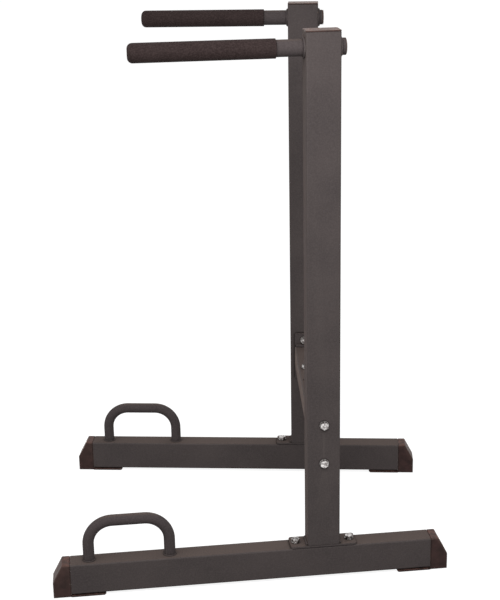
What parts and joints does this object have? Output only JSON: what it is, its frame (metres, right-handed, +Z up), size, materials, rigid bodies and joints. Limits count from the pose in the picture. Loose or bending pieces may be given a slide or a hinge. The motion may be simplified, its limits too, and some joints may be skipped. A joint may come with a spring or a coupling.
{
  "type": "dip station",
  "caption": "Free-standing dip station: two splayed steel side frames with gripped parallel bars and push-up handles, joined by one low crossmember.",
  "frame": {"origin": "on the floor, under the middle of the outline", "axes": "+Z up, -X to the front, where the dip bars point, +Y to the left side frame, which is the far one in the picture"},
  "size_m": [0.9422, 0.747, 1.292],
  "materials": {
    "frame_paint": "dark grey powder coat, satin, fine orange peel",
    "cap_plastic": "black-brown moulded polyethylene, matte",
    "grip_rubber": "black rubber sleeve, matte",
    "bolt_zinc": "bright zinc plate"
  },
  "bodies": {
    "root": {"left_base_tube": "frame_paint", "left_front_end_cap": "cap_plastic", "left_rear_end_cap": "cap_plastic", "left_push_up_handle": "frame_paint", "left_foot_flange_plate": "frame_paint", "left_upright_tube": "frame_paint", "left_upright_top_cap": "cap_plastic", "left_dip_bar": "frame_paint", "left_dip_bar_grip": "grip_rubber", "left_dip_bar_plug": "cap_plastic", "left_crossmember_flange_plate": "frame_paint", "left_foot_bolt_front": "bolt_zinc", "left_foot_bolt_front_washer": "bolt_zinc", "left_foot_bolt_front_nut": "bolt_zinc", "left_foot_bolt_rear": "bolt_zinc", "left_foot_bolt_rear_washer": "bolt_zinc", "left_foot_bolt_rear_nut": "bolt_zinc", "left_crossmember_bolt_lower": "bolt_zinc", "left_crossmember_bolt_lower_washer": "bolt_zinc", "left_crossmember_bolt_lower_inner_washer": "bolt_zinc", "left_crossmember_bolt_lower_nut": "bolt_zinc", "left_crossmember_bolt_upper": "bolt_zinc", "left_crossmember_bolt_upper_washer": "bolt_zinc", "left_crossmember_bolt_upper_inner_washer": "bolt_zinc", "left_crossmember_bolt_upper_nut": "bolt_zinc", "right_base_tube": "frame_paint", "right_front_end_cap": "cap_plastic", "right_rear_end_cap": "cap_plastic", "right_push_up_handle": "frame_paint", "right_foot_flange_plate": "frame_paint", "right_upright_tube": "frame_paint", "right_upright_top_cap": "cap_plastic", "right_dip_bar": "frame_paint", "right_dip_bar_grip": "grip_rubber", "right_dip_bar_plug": "cap_plastic", "right_crossmember_flange_plate": "frame_paint", "right_foot_bolt_front": "bolt_zinc", "right_foot_bolt_front_washer": "bolt_zinc", "right_foot_bolt_front_nut": "bolt_zinc", "right_foot_bolt_rear": "bolt_zinc", "right_foot_bolt_rear_washer": "bolt_zinc", "right_foot_bolt_rear_nut": "bolt_zinc", "right_crossmember_bolt_lower": "bolt_zinc", "right_crossmember_bolt_lower_washer": "bolt_zinc", "right_crossmember_bolt_lower_inner_washer": "bolt_zinc", "right_crossmember_bolt_lower_nut": "bolt_zinc", "right_crossmember_bolt_upper": "bolt_zinc", "right_crossmember_bolt_upper_washer": "bolt_zinc", "right_crossmember_bolt_upper_inner_washer": "bolt_zinc", "right_crossmember_bolt_upper_nut": "bolt_zinc", "crossmember": "frame_paint", "crossmember_top_bolt_left": "bolt_zinc", "crossmember_top_bolt_left_washer": "bolt_zinc", "crossmember_top_bolt_left_nut": "bolt_zinc", "crossmember_top_bolt_right": "bolt_zinc", "crossmember_top_bolt_right_washer": "bolt_zinc", "crossmember_top_bolt_right_nut": "bolt_zinc"}
  },
  "joints": []
}
